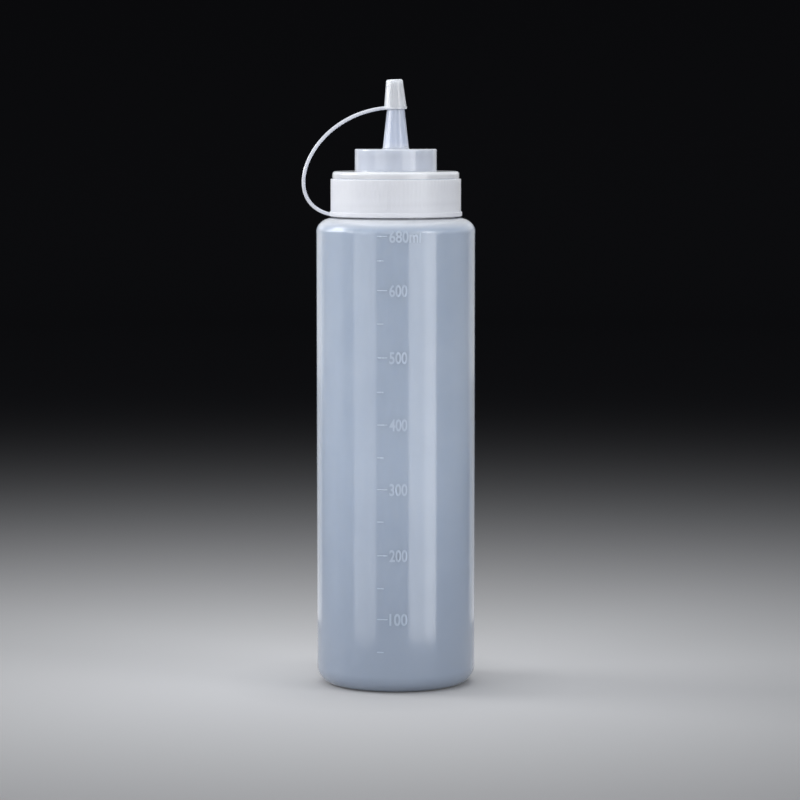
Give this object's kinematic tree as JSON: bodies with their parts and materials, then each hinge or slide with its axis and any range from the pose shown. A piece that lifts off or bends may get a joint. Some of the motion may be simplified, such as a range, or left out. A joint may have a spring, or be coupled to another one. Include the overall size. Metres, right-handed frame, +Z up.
{
  "type": "condiment squeeze bottle",
  "caption": "Tall milky squeeze bottle with a ribbed screw lid, a tapered pouring nozzle and a small tip cap held by a curved moulded strap.",
  "frame": {"origin": "on the bottle's axis, in the plane that it stands on", "axes": "+Z up along the bottle's axis, -X toward the side that the cap's strap bows out to, -Y the front with the volume scale"},
  "size_m": [0.0763, 0.07, 0.2668],
  "materials": {
    "milky_body": "milky translucent blown polyethylene, smooth with a soft gloss",
    "milky_lid": "whiter translucent moulded polyethylene, satin skirt and glossier rim",
    "seal_white": "soft matt white liner foam"
  },
  "bodies": {
    "bottle": {"bottle": "milky_body"},
    "seal": {"seal_ring": "seal_white"},
    "lid": {"screw_lid": "milky_lid"},
    "strap_1": {"strap_link_1": "milky_lid"},
    "strap_2": {"strap_link_2": "milky_lid"},
    "strap_3": {"strap_link_3": "milky_lid"},
    "strap_4": {"strap_link_4": "milky_lid"},
    "strap_5": {"strap_link_5": "milky_lid"},
    "cap": {"tip_cap": "milky_lid"}
  },
  "joints": [
    {"name": "lid_rise", "type": "slide", "parent": "bottle", "child": "seal", "axis": [0, 0, 1], "range_m": [0, 0.02115]},
    {"name": "lid_turn", "type": "hinge", "parent": "seal", "child": "lid", "pos_m": [0, 0, 0.2072], "axis": [0, 0, 1], "range_deg": [0, 1800]},
    {"name": "tip_cap_open", "type": "hinge", "parent": "lid", "child": "strap_1", "pos_m": [-0.03181, 0, 0.20891], "axis": [0, 1, 0], "range_deg": [0, 35.13]},
    {"name": "strap_bend_2", "type": "hinge", "parent": "strap_1", "child": "strap_2", "pos_m": [-0.04018, 0, 0.21855], "axis": [0, -1, 0], "range_deg": [0, 18.47]},
    {"name": "strap_bend_3", "type": "hinge", "parent": "strap_2", "child": "strap_3", "pos_m": [-0.03843, 0, 0.23155], "axis": [0, 1, 0], "range_deg": [0, 4.49]},
    {"name": "strap_bend_4", "type": "hinge", "parent": "strap_3", "child": "strap_4", "pos_m": [-0.03091, 0, 0.24247], "axis": [0, -1, 0], "range_deg": [0, 38.62]},
    {"name": "strap_bend_5", "type": "hinge", "parent": "strap_4", "child": "strap_5", "pos_m": [-0.02016, 0, 0.25024], "axis": [0, -1, 0], "range_deg": [0, 50.04]},
    {"name": "tip_cap_swing", "type": "hinge", "parent": "strap_5", "child": "cap", "pos_m": [-0.00752, 0, 0.25432], "axis": [0, -1, 0], "range_deg": [0, 67.15]}
  ],
  "couplings": [
    {"joint": "lid_turn", "follows": "lid_rise", "rad_per_m": 1485.4},
    {"joint": "strap_bend_2", "follows": "tip_cap_open", "ratio": 0.52576},
    {"joint": "strap_bend_3", "follows": "tip_cap_open", "ratio": 0.12781},
    {"joint": "strap_bend_4", "follows": "tip_cap_open", "ratio": 1.0993},
    {"joint": "strap_bend_5", "follows": "tip_cap_open", "ratio": 1.4244},
    {"joint": "tip_cap_swing", "follows": "tip_cap_open", "ratio": 1.9115}
  ]
}
